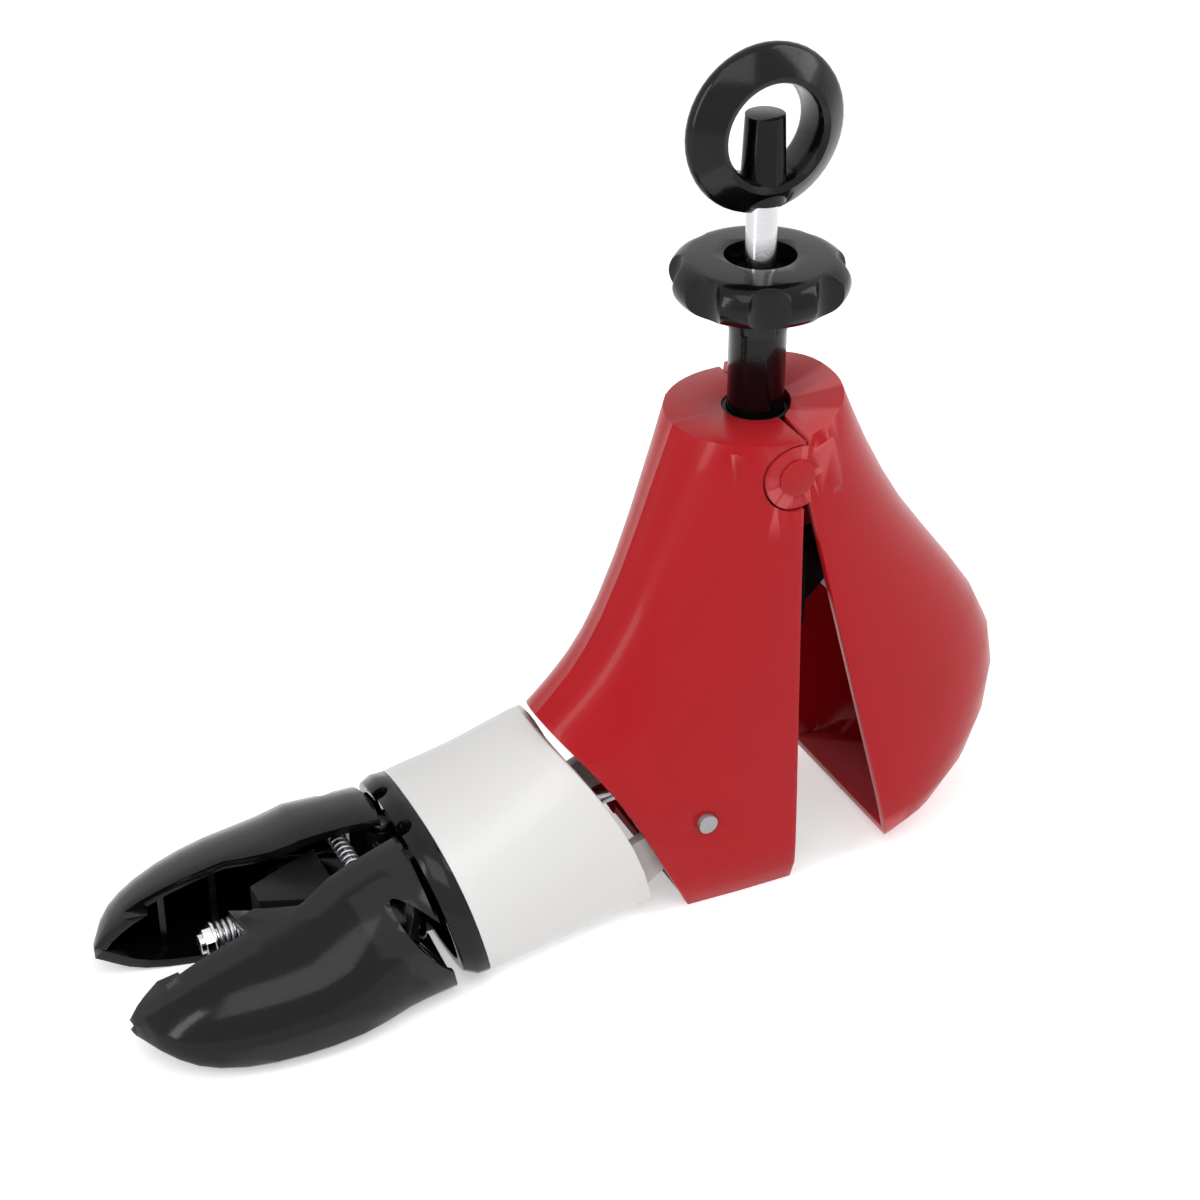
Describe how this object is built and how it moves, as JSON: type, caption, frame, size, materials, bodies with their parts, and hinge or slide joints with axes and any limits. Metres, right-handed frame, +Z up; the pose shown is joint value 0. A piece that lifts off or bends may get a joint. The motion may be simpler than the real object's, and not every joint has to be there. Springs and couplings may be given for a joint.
{
  "type": "shoe stretcher",
  "caption": "Two-way shoe stretcher: knob swings back a red heel half, ring drives a wedge that spreads two black toe halves ahead of a white midfoot.",
  "frame": {"origin": "the point where the spindle's axis meets the plane of the sole", "axes": "+X towards the toe, +Z up along the spindle, +Y to the stretcher's left"},
  "size_m": [0.282, 0.0896, 0.252],
  "materials": {
    "red_shell": "glossy moulded crimson plastic",
    "white_shell": "satin white moulded plastic",
    "grey_tongue": "grey-white moulded plastic",
    "black_gloss": "glossy black moulded plastic",
    "black_inner": "plain black moulded plastic",
    "white_roller": "plain white plastic",
    "polished_rod": "polished plated steel",
    "steel": "turned and pressed steel",
    "pin_grey": "plain steel pin"
  },
  "bodies": {
    "front_body": {"front_block": "red_shell", "ankle_pins": "red_shell", "top_bush": "black_inner", "guide_rails": "black_inner", "midfoot_pins": "pin_grey"},
    "heel": {"heel_block": "red_shell", "heel_bracket": "steel", "heel_roller": "white_roller", "heel_roller_pin": "pin_grey"},
    "knob": {"star_knob": "black_gloss", "spindle_sleeve": "black_gloss"},
    "ring": {"ring_handle": "black_gloss", "spindle_rod": "polished_rod"},
    "spreader": {"spreader_nut": "black_inner"},
    "crosshead": {"rod_crosshead": "steel"},
    "midfoot": {"midfoot_shell": "white_shell", "midfoot_tongue": "grey_tongue", "toe_yoke": "black_gloss", "yoke_screws": "steel", "rod_bush": "black_inner", "toe_hinge_pins": "pin_grey", "tie_spring": "steel"},
    "push_rod": {"push_rod": "polished_rod", "push_rod_roller": "white_roller", "wedge": "black_inner", "nose_spring": "steel", "nose_nut": "polished_rod"},
    "toe_left": {"toe_left": "black_gloss"},
    "toe_right": {"toe_right": "black_gloss"}
  },
  "joints": [
    {"name": "heel_spread", "type": "hinge", "parent": "front_body", "child": "heel", "pos_m": [0, 0, 0.136], "axis": [0, 1, 0], "range_deg": [-13, 5]},
    {"name": "spreader_slide", "type": "slide", "parent": "front_body", "child": "spreader", "axis": [0, 0, -1], "range_m": [-0.0062, 0.0024]},
    {"name": "knob_turn", "type": "hinge", "parent": "front_body", "child": "knob", "pos_m": [0, 0, 0.186], "axis": [0, 0, 1], "range_deg": [-550, 220]},
    {"name": "midfoot_tilt", "type": "hinge", "parent": "front_body", "child": "midfoot", "pos_m": [0.0275, 0, 0.03], "axis": [0, 1, 0], "range_deg": [-2, 4]},
    {"name": "push_rod_slide", "type": "slide", "parent": "midfoot", "child": "push_rod", "axis": [0.9952, 0, -0.0976], "range_m": [-0.0067, 0.0046]},
    {"name": "toe_left_spread", "type": "hinge", "parent": "midfoot", "child": "toe_left", "pos_m": [0.114, 0.009, 0.02], "axis": [0, 0, 1], "range_deg": [-5.2, 3.6], "deforming": ["tie_spring"]},
    {"name": "toe_right_spread", "type": "hinge", "parent": "midfoot", "child": "toe_right", "pos_m": [0.114, -0.009, 0.02], "axis": [0, 0, -1], "range_deg": [-5.2, 3.6]},
    {"name": "crosshead_slide", "type": "slide", "parent": "front_body", "child": "crosshead", "axis": [0, 0, -1], "range_m": [-0.0074, 0.0052]},
    {"name": "ring_turn", "type": "hinge", "parent": "front_body", "child": "ring", "pos_m": [0, 0, 0.2285], "axis": [0, 0, 1], "range_deg": [-662, 456]}
  ],
  "couplings": [
    {"joint": "spreader_slide", "follows": "heel_spread", "m_per_rad": 0.0258},
    {"joint": "knob_turn", "follows": "heel_spread", "ratio": 40.5},
    {"joint": "toe_left_spread", "follows": "push_rod_slide", "rad_per_m": 13},
    {"joint": "toe_right_spread", "follows": "push_rod_slide", "rad_per_m": 13},
    {"joint": "crosshead_slide", "follows": "push_rod_slide", "ratio": 1.0925},
    {"joint": "ring_turn", "follows": "push_rod_slide", "rad_per_m": 1716}
  ]
}
